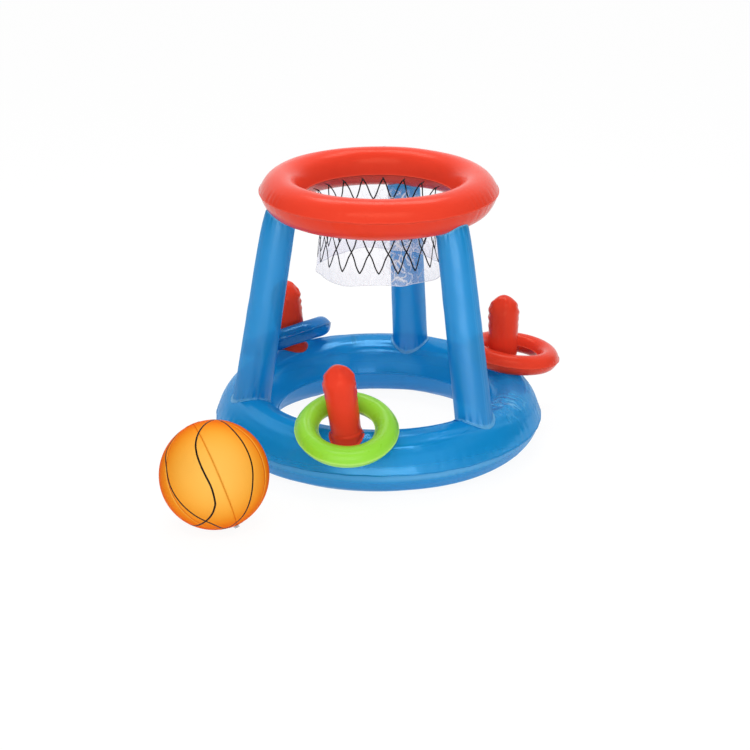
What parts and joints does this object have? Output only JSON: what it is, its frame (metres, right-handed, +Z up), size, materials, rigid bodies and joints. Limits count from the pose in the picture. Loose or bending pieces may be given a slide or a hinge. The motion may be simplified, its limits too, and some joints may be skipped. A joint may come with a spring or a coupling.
{
  "type": "floating basketball hoop",
  "caption": "Inflatable pool basketball set: base ring on leaning legs under a hoop with a printed net sleeve, pegs with toss rings round the base, and a ball.",
  "frame": {"origin": "on the floor, under the middle of the box round the whole set", "axes": "+Z up, -Y the front, where the front peg and the ball stand, +X to the right seen from the front"},
  "size_m": [0.6298, 0.863, 0.52],
  "materials": {
    "blue_vinyl": "translucent blue inflatable vinyl, smooth and glossy",
    "red_vinyl": "opaque red inflatable vinyl, satin gloss",
    "green_vinyl": "green inflatable vinyl, glossy",
    "pale_blue_vinyl": "translucent blue inflatable vinyl, thin and glossy",
    "orange_vinyl": "orange inflatable vinyl printed with black lines",
    "clear_film": "clear vinyl film printed with a black diamond net",
    "clear_valve": "soft clear moulded vinyl"
  },
  "bodies": {
    "frame": {"base_ring_bottom_panel": "blue_vinyl", "base_ring_top_panel": "blue_vinyl", "base_ring_valve": "clear_valve", "hoop_ring_bottom_panel": "red_vinyl", "hoop_ring_top_panel": "red_vinyl", "hoop_ring_valve": "clear_valve", "leg_left": "blue_vinyl", "leg_rear": "blue_vinyl", "leg_right": "blue_vinyl", "net_sleeve": "clear_film", "peg_front": "red_vinyl", "peg_left": "red_vinyl", "peg_right": "red_vinyl"},
    "ball": {"ball_bottom_disc": "orange_vinyl", "ball_gore_1": "orange_vinyl", "ball_gore_2": "orange_vinyl", "ball_gore_3": "orange_vinyl", "ball_gore_4": "orange_vinyl", "ball_gore_5": "orange_vinyl", "ball_gore_6": "orange_vinyl", "ball_top_disc": "orange_vinyl", "ball_valve": "clear_valve"},
    "ball_plug": {"ball_valve_plug": "clear_valve"},
    "base_ring_plug": {"base_ring_valve_plug": "clear_valve"},
    "hoop_ring_plug": {"hoop_ring_valve_plug": "clear_valve"},
    "toss_ring_front": {"toss_ring_front_bottom_panel": "green_vinyl", "toss_ring_front_top_panel": "green_vinyl", "toss_ring_front_valve": "clear_valve"},
    "toss_ring_front_plug": {"toss_ring_front_valve_plug": "clear_valve"},
    "toss_ring_left": {"toss_ring_left_bottom_panel": "pale_blue_vinyl", "toss_ring_left_top_panel": "pale_blue_vinyl", "toss_ring_left_valve": "clear_valve"},
    "toss_ring_left_plug": {"toss_ring_left_valve_plug": "clear_valve"},
    "toss_ring_right": {"toss_ring_right_bottom_panel": "red_vinyl", "toss_ring_right_top_panel": "red_vinyl", "toss_ring_right_valve": "clear_valve"},
    "toss_ring_right_plug": {"toss_ring_right_valve_plug": "clear_valve"}
  },
  "joints": [
    {"name": "toss_ring_front_lift", "type": "slide", "parent": "frame", "child": "toss_ring_front", "axis": [0, 0, 1], "range_m": [0, 0.2]},
    {"name": "toss_ring_right_lift", "type": "slide", "parent": "frame", "child": "toss_ring_right", "axis": [0, 0, 1], "range_m": [0, 0.2]},
    {"name": "toss_ring_left_lift", "type": "slide", "parent": "frame", "child": "toss_ring_left", "axis": [0, 0, 1], "range_m": [0, 0.2]},
    {"name": "ball_lift", "type": "slide", "parent": "frame", "child": "ball", "axis": [0, 0, 1], "range_m": [0, 0.6]},
    {"name": "base_ring_plug_pull", "type": "slide", "parent": "frame", "child": "base_ring_plug", "axis": [-0.3304, 0.7086, 0.6235], "range_m": [0, 0.012]},
    {"name": "hoop_ring_plug_pull", "type": "slide", "parent": "frame", "child": "hoop_ring_plug", "axis": [-0.147, 0.6917, 0.7071], "range_m": [0, 0.012]},
    {"name": "toss_ring_front_plug_pull", "type": "slide", "parent": "toss_ring_front", "child": "toss_ring_front_plug", "axis": [-0.1797, 0.2226, 0.9582], "range_m": [0, 0.01]},
    {"name": "toss_ring_left_plug_pull", "type": "slide", "parent": "toss_ring_left", "child": "toss_ring_left_plug", "axis": [-0.3761, 0.7371, 0.5615], "range_m": [0, 0.01]},
    {"name": "toss_ring_right_plug_pull", "type": "slide", "parent": "toss_ring_right", "child": "toss_ring_right_plug", "axis": [-0.018, 0.6274, 0.7785], "range_m": [0, 0.01]},
    {"name": "ball_plug_pull", "type": "slide", "parent": "ball", "child": "ball_plug", "axis": [0.4763, -0.2323, -0.848], "range_m": [0, 0.006]}
  ]
}
